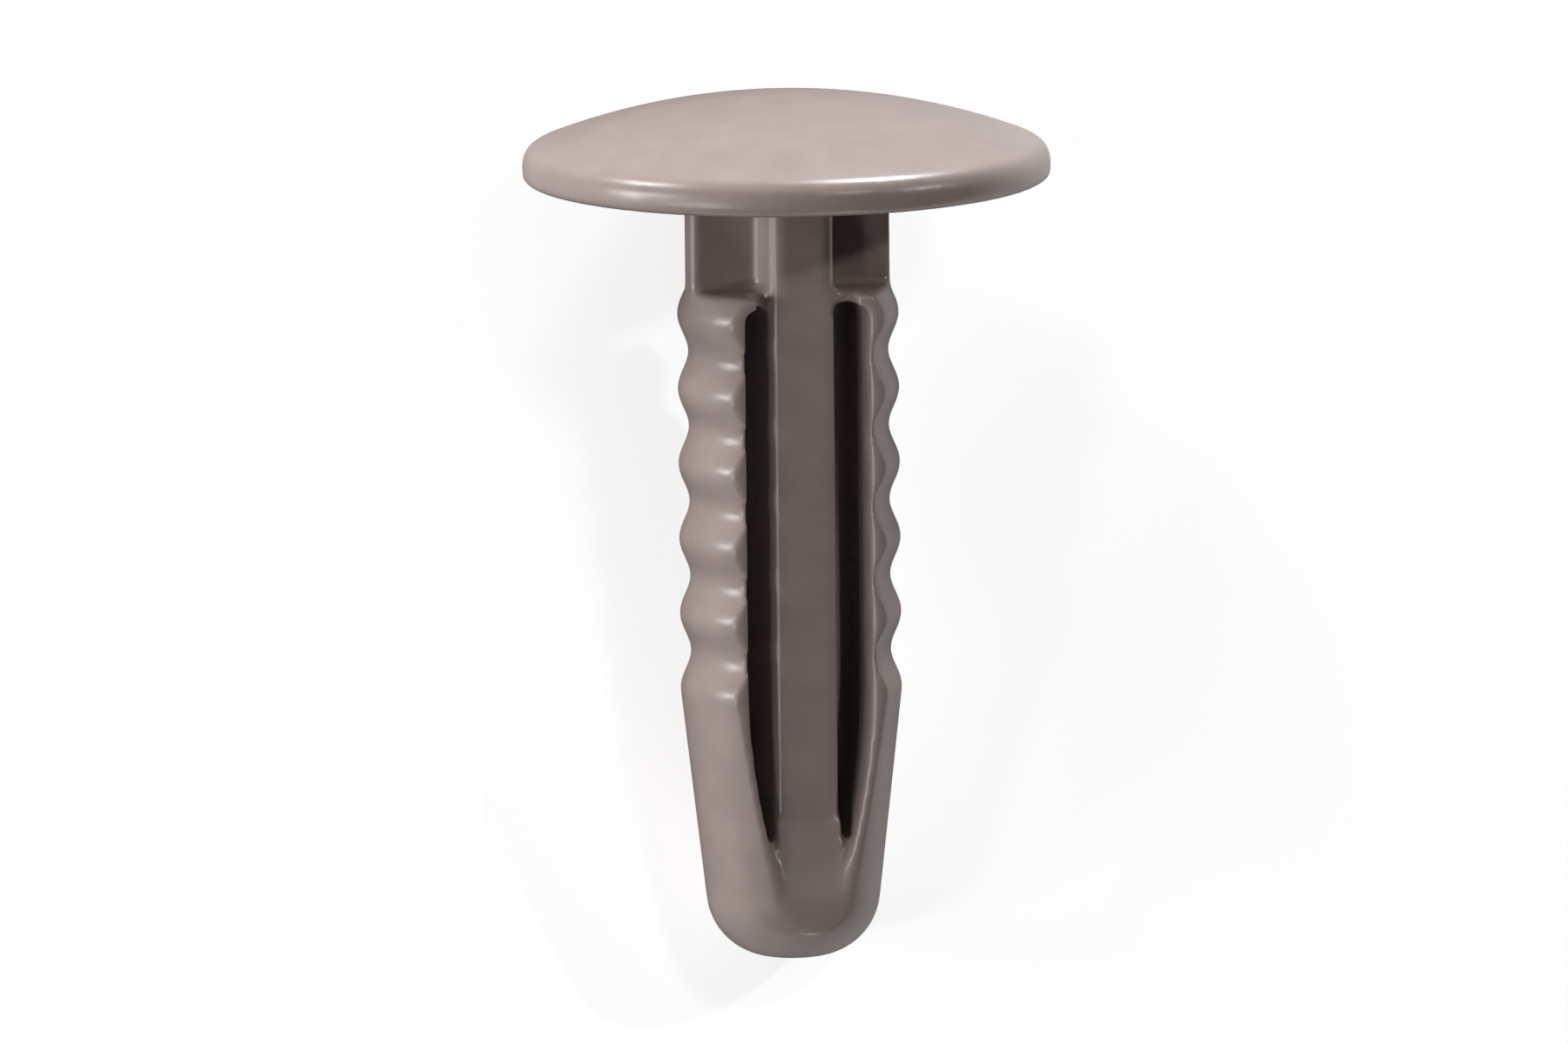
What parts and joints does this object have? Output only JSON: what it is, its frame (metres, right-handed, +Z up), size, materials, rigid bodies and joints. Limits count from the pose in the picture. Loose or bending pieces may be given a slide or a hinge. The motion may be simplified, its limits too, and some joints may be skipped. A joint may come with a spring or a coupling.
{
  "type": "trim clip",
  "caption": "Push-in trim clip: shallow domed head, cross-ribbed neck, and a slotted shank whose two serrated legs meet in a rounded nose.",
  "frame": {"origin": "centre of the bounding box at ground level, under the clip as it lies at rest on the rim of its head and the back flat of its nose", "axes": "+Z up; +Y along the clip's length, from nose to head; +X across the clip, from its left leg to its right leg; the shank's axis slopes down to the nose by 13.7 degrees"},
  "size_m": [0.02, 0.033, 0.0195],
  "materials": {
    "moulded_nylon": "semi-gloss moulded nylon, warm grey"
  },
  "bodies": {
    "root": {"trim_clip": "moulded_nylon"}
  },
  "joints": []
}
